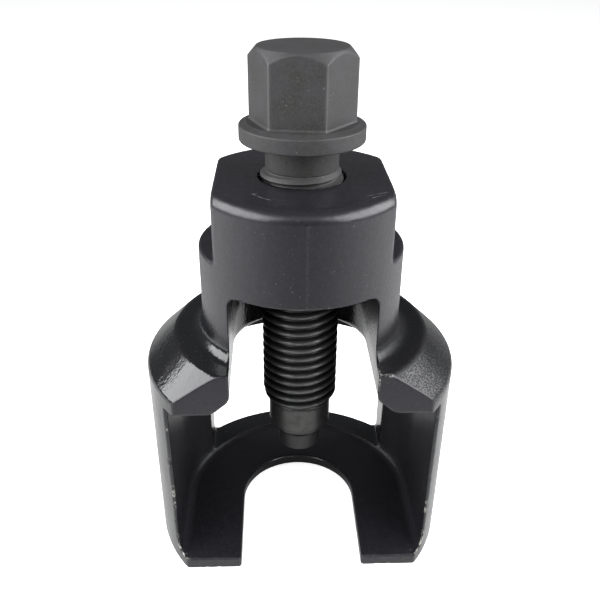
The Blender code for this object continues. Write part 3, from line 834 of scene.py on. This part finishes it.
    def finish(self, colour, roughness, metallic=0.0, specular=0.5):
        self.feed(self.shader.inputs["Base Color"], colour)
        self.feed(self.shader.inputs["Roughness"], roughness)
        self.feed(self.shader.inputs["Metallic"], metallic)
        self.feed(self.shader.inputs["Specular IOR Level"], specular)
        return self.material


def grey(value, blue=1.0):
    return (value, value, value * blue, 1.0)


def black_coat():
    """Black coat over a forging: glossy and rippled on the bell, satin on the boss, dull in the pocket."""
    look = Look("black_coat_visual")
    cloud = look.noise(0.018, 3.0)
    ripple = look.noise(0.0010, 2.0, 0.5)
    pits = look.noise(0.00042, 1.0, 0.5)
    grain = look.noise(0.0009, 4.0, 0.7)
    height = look.height()
    boss = look.ramp(height, *SATIN_RISE)
    pocket = look.inside_pocket()
    on_slope = look.ramp(height, *SLOPE_RISE)
    behind_arm = look.ramp(look.axis("Y"), *ARM_DEPTH)
    coarse = look.product(look.ramp(look.axis("X"), *COARSE_RISE), look.rest(boss), on_slope, behind_arm)
    satin = look.math("MAXIMUM", boss, look.rest(behind_arm))
    right_shelf = look.product(coarse, look.ramp(height, *SHELF_RISE))
    colour = look.blend(cloud, (0.0050, 0.0052, 0.0058, 1.0), (0.0074, 0.0074, 0.0088, 1.0))
    matt_dark, matt_pale = (0.0080, 0.0078, 0.0098, 1.0), (0.0125, 0.0118, 0.0150, 1.0)
    matt = look.blend(look.ramp(grain, 0.35, 0.65), matt_dark, matt_pale)
    colour = look.blend(look.math("MAXIMUM", satin, pocket), colour, matt)
    specks = look.ramp(look.noise(0.0005, 1.0), 0.72, 0.77)
    colour = look.blend(look.product(specks, look.ramp(cloud, 0.3, 0.7, 0.2, 0.7)), colour, grey(0.10))
    for start, end in SCRATCHES:
        colour = look.blend(look.scratch(start, end), colour, grey(0.11))
    # Painted highlight: a faint light line down the seam's ridge on the boss's front.
    seam = look.product(look.scratch(*SEAM_HIGHLIGHT_LINE, width=0.0003), 0.28)
    colour = look.blend(seam, colour, grey(0.05))
    bared = look.bare_metal()
    colour = look.blend(look.product(bared, 0.8), colour, (0.36, 0.35, 0.32, 1.0))
    roughness = look.ramp(cloud, 0.3, 0.7, 0.12, 0.18)
    roughness = look.blend(satin, roughness, look.ramp(grain, 0.35, 0.65, 0.35, 0.29))
    roughness = look.blend(pocket, roughness, 0.36)
    roughness = look.math("ADD", roughness, look.product(coarse, 0.16))
    roughness = look.math("ADD", roughness, look.product(right_shelf, 0.14))
    look.bump(ripple, 0.00010, look.blend(satin, 0.70, 0.15))
    look.bump(grain, 0.00003, look.product(satin, 0.5))
    look.bump(look.product(pits, look.math("ADD", coarse, 0.12)), 0.00010, 0.60)
    dull = look.product(look.ramp(pits, 0.62, 0.42), coarse)
    tint = look.blend(satin, (0.98, 0.99, 1.0, 1.0), (0.975, 0.962, 1.0, 1.0))
    look.feed(look.shader.inputs["Specular Tint"], tint)
    specular = look.blend(pocket, look.blend(coarse, 0.5, 0.40), 0.42)
    specular = look.blend(right_shelf, look.blend(dull, specular, 0.12), 0.17)
    return look.finish(colour, roughness, look.product(bared, 0.5), specular)


def phosphate():
    """Grey phosphate on the screw's head, black oil on its thread, bare steel on worn crests and shank."""
    look = Look("phosphated_steel_visual")
    grain = look.noise(0.0005, 3.0, 0.65)
    cloud = look.noise(0.005, 3.0)
    plain = look.blend(look.ramp(cloud, 0.35, 0.65), (0.024, 0.026, 0.023, 1.0), (0.034, 0.032, 0.037, 1.0))
    plain = look.blend(look.ramp(grain, 0.35, 0.75), plain, grey(0.042))
    specks = look.ramp(look.noise(0.0006, 1.0), 0.75, 0.78)
    plain = look.blend(look.product(specks, 0.5), plain, grey(0.15))
    # Painted highlight: the hexagon's corners are painted lighter along their length.
    plain = look.blend(look.product(look.measure("corner"), 0.6), plain, grey(0.10))
    threaded = look.measure("thread")
    crest = look.ramp(look.measure("crest"), 0.50, 0.9)
    worn = look.product(crest, look.ramp(look.noise(0.002, 3.0), 0.35, 0.6, 0.5, 1.0))
    oiled = look.blend(worn, (0.0070, 0.0078, 0.0070, 1.0), grey(0.115))
    shank = look.ramp(look.height(), *SHANK_FALL)
    colour = look.blend(threaded, plain, oiled)
    stain = look.ramp(look.noise(0.0028, 4.0, 0.65), 0.44, 0.66, 0.0, 0.45)
    bare = look.blend(stain, look.blend(grain, grey(0.050, 0.98), grey(0.078, 0.97)), grey(0.022))
    colour = look.blend(shank, colour, bare)
    # Painted shade: the screw's lower end is painted nearly black, for the shadow in the gap above the tip.
    colour = look.blend(look.ramp(look.height(), *SHANK_END_SHADE_FALL), colour, grey(0.006))
    roughness = look.blend(threaded, 0.56, 0.30)
    roughness = look.blend(shank, roughness, 0.34)
    roughness = look.math("ADD", roughness, look.ramp(grain, 0.3, 0.7, 0.0, 0.06))
    metallic = look.blend(threaded, 0.25, look.blend(worn, 0.1, 0.85))
    look.bump(grain, 0.00005, 0.5)
    return look.finish(colour, roughness, look.blend(shank, metallic, 0.75))


def hardened():
    """Dark hardened steel with turning marks around it, and painted shade near its top where it meets the
    screw.
    """
    look = Look("hardened_steel_visual")
    grain = look.noise(0.0006, 3.0, 0.6)
    rings = look.tree.nodes.new("ShaderNodeTexWave")
    rings.bands_direction = "Z"
    rings.inputs["Scale"].default_value = 700.0
    rings.inputs["Distortion"].default_value = 0.6
    look.feed(rings.inputs["Vector"], look.place)
    colour = look.blend(grain, grey(0.020), grey(0.042))
    # Painted shade: from just below the shoulder up, the tip is painted nearly black, for the shadow in the
    # gap under the screw.
    stem = look.ramp(look.height(), *TIP_GAP_SHADE_RISE)
    colour = look.blend(stem, colour, grey(0.006))
    look.bump(rings.outputs["Fac"], 0.00002, 0.4)
    look.bump(grain, 0.00003, 0.4)
    return look.finish(colour, look.ramp(grain, 0.3, 0.7, 0.40, 0.52), 0.55)


def bright(name, tone, roughness):
    """Ground or drawn bright steel, finely scratched and filmed with oil."""
    look = Look(name)
    scratches = look.noise(0.0003, 4.0, 0.7, 1.5)
    film = look.noise(0.002, 2.0)
    colour = look.blend(film, grey(tone), grey(tone * 0.8, 0.97))
    look.bump(scratches, 0.000008, 0.4)
    return look.finish(colour, look.ramp(scratches, 0.3, 0.7, roughness, roughness + 0.12), 1.0)


def floor_paint():
    """Pale paper that glows plain white for the camera. To the object, the floor's colour holds painted
    light: paler at the sides, under the softboxes, and darker in front and behind."""
    look = Look("pale_floor")
    seen = look.tree.nodes.new("ShaderNodeLightPath").outputs["Is Camera Ray"]
    # Painted light: for the object's reflections, the floor's colour is paler at the sides than in front and
    # behind.
    x, y = look.axis("X"), look.axis("Y")
    reaches = (x, look.math("MINIMUM", y, 0.0), look.math("MAXIMUM", y, 0.0))
    across, ahead, behind = [look.product(reach, reach) for reach in reaches]
    total = look.math("ADD", look.math("ADD", across, look.math("ADD", ahead, behind)), 1e-6)
    shares = [look.product(look.math("DIVIDE", part, total), tone)
              for part, tone in ((across, SIDE_TONE), (ahead, FRONT_TONE), (behind, BACK_TONE))]
    far = look.math("ADD", shares[0], look.math("ADD", shares[1], shares[2]))
    tone = look.blend(look.ramp(total, NEAR_REACH**2, FAR_REACH**2), NEAR_TONE, far)
    colour = look.blend(seen, tone, look.ramp(look.noise(0.4, 2.0), 0.0, 1.0, 0.80, 0.82))
    look.feed(look.shader.inputs["Emission Color"], grey(1.0))
    look.feed(look.shader.inputs["Emission Strength"], look.blend(seen, 0.05, 0.80))
    return look.finish(colour, 0.8, 0.0, 0.2)


# --- Studio --------------------------------------------------------------------------------------------

CAMERA_PITCH, CAMERA_YAW, CAMERA_ROLL = math.radians(28.254), math.radians(2.246), math.radians(-0.605)
CAMERA_DISTANCE = 187.35 * MM
CAMERA_TARGET = Vector((-0.137 * MM, 0.0, 44.93 * MM))
CAMERA_LENS, SENSOR = 43.134, 36.0
OBJECT_MIDDLE = Vector((0.0, 0.0, 0.04))
SOFTBOX_TURN, SOFTBOX_LIFT, SOFTBOX_DISTANCE = 76.0, 31.0, 0.60  # degrees round from the front, and up
SOFTBOX_SIZE, SOFTBOX_POWER = (0.84, 0.46), 9.4
TOP_LIGHT_PLACE, TOP_LIGHT_SIZE, TOP_LIGHT_POWER = Vector((0.0, -0.5, 0.62)), (0.8, 0.35), 0.8
AIR_TINT, AIR_STRENGTH = (0.94, 0.97, 1.0, 1.0), 0.14
SIDE_TONE, FRONT_TONE, BACK_TONE, NEAR_TONE = 0.68, 0.24, 0.14, 0.60  # painted light in the floor's colour as the object sees it: how pale it is at the sides, in front, behind and near
NEAR_REACH, FAR_REACH = 0.06, 0.13  # how far the nearest tone reaches, and where the others have taken over
FLOOR_SIZE, FLOOR_GAP = 12.0, 0.05 * MM


def add_camera():
    """The photograph's viewpoint: a little above the object, a few degrees round from straight ahead."""
    pitch, yaw, roll = CAMERA_PITCH, CAMERA_YAW, CAMERA_ROLL
    forward = Vector((0.0, math.cos(pitch), -math.sin(pitch)))
    upward = Vector((0.0, math.sin(pitch), math.cos(pitch)))
    rightward = Vector((1.0, 0.0, 0.0))
    place = CAMERA_TARGET - forward * CAMERA_DISTANCE
    right = rightward * math.cos(roll) - upward * math.sin(roll)
    up = rightward * math.sin(roll) + upward * math.cos(roll)
    axes = Matrix((right, up, -forward)).transposed().to_4x4()
    data = bpy.data.cameras.new("photo_camera")
    data.lens = CAMERA_LENS
    data.sensor_width = SENSOR
    data.clip_start = 0.01
    camera = bpy.data.objects.new("photo_camera", data)
    bpy.context.scene.collection.objects.link(camera)
    camera.matrix_world = Matrix.Rotation(-yaw, 4, "Z") @ Matrix.Translation(place) @ axes
    bpy.context.scene.camera = camera


def add_softbox(name, place, aim, size, power):
    """A rectangular soft light, which the camera itself doesn't see."""
    data = bpy.data.lights.new(name, "AREA")
    data.shape = "RECTANGLE"
    data.size, data.size_y = size
    data.energy = power
    lamp = bpy.data.objects.new(name, data)
    bpy.context.scene.collection.objects.link(lamp)
    lamp.location = place
    lamp.rotation_euler = (Vector(aim) - Vector(place)).to_track_quat("-Z", "Y").to_euler()
    lamp.visible_camera = False


def add_air():
    """Dim cool light from all around, which the camera sees as plain white."""
    world = bpy.data.worlds.new("studio_air")
    world.use_nodes = True
    tree = world.node_tree
    dim = tree.nodes["Background"]
    dim.inputs["Color"].default_value = AIR_TINT
    dim.inputs["Strength"].default_value = AIR_STRENGTH
    white = tree.nodes.new("ShaderNodeBackground")
    white.inputs["Color"].default_value = grey(1.0)
    mix = tree.nodes.new("ShaderNodeMixShader")
    tree.links.new(tree.nodes.new("ShaderNodeLightPath").outputs["Is Camera Ray"], mix.inputs["Fac"])
    tree.links.new(dim.outputs[0], mix.inputs[1])
    tree.links.new(white.outputs[0], mix.inputs[2])
    tree.links.new(mix.outputs[0], tree.nodes["World Output"].inputs["Surface"])
    bpy.context.scene.world = world


def add_studio():
    bpy.context.scene.view_settings.view_transform = "Standard"
    add_air()
    turn = math.radians(SOFTBOX_TURN)
    lift = math.radians(SOFTBOX_LIFT)
    for name, side in (("left_softbox", -1), ("right_softbox", 1)):
        level = Vector((side * math.sin(turn), -math.cos(turn), 0.0)) * math.cos(lift)
        toward = level + Vector((0.0, 0.0, math.sin(lift)))
        place = OBJECT_MIDDLE + toward * SOFTBOX_DISTANCE
        add_softbox(name, place, OBJECT_MIDDLE, SOFTBOX_SIZE, SOFTBOX_POWER)
    add_softbox("top_light", TOP_LIGHT_PLACE, OBJECT_MIDDLE, TOP_LIGHT_SIZE, TOP_LIGHT_POWER)


def add_floor(material):
    half = FLOOR_SIZE / 2
    mesh = bpy.data.meshes.new("pale_floor")
    corners = [(-half, -half, 0.0), (half, -half, 0.0), (half, half, 0.0), (-half, half, 0.0)]
    mesh.from_pydata(corners, [], [(0, 1, 2, 3)])
    mesh.materials.append(material)
    floor = bpy.data.objects.new("pale_floor", mesh)
    floor.location.z = FORK_UNDERSIDE - FLOOR_GAP
    bpy.context.scene.collection.objects.link(floor)


def main():
    build_housing(black_coat())
    build_screw(phosphate())
    build_tip(hardened())
    build_ball(bright("ball_steel_visual", 0.55, 0.12))
    build_snap_ring(bright("spring_steel_visual", 0.32, 0.25))
    add_floor(floor_paint())
    add_studio()
    add_camera()


main()
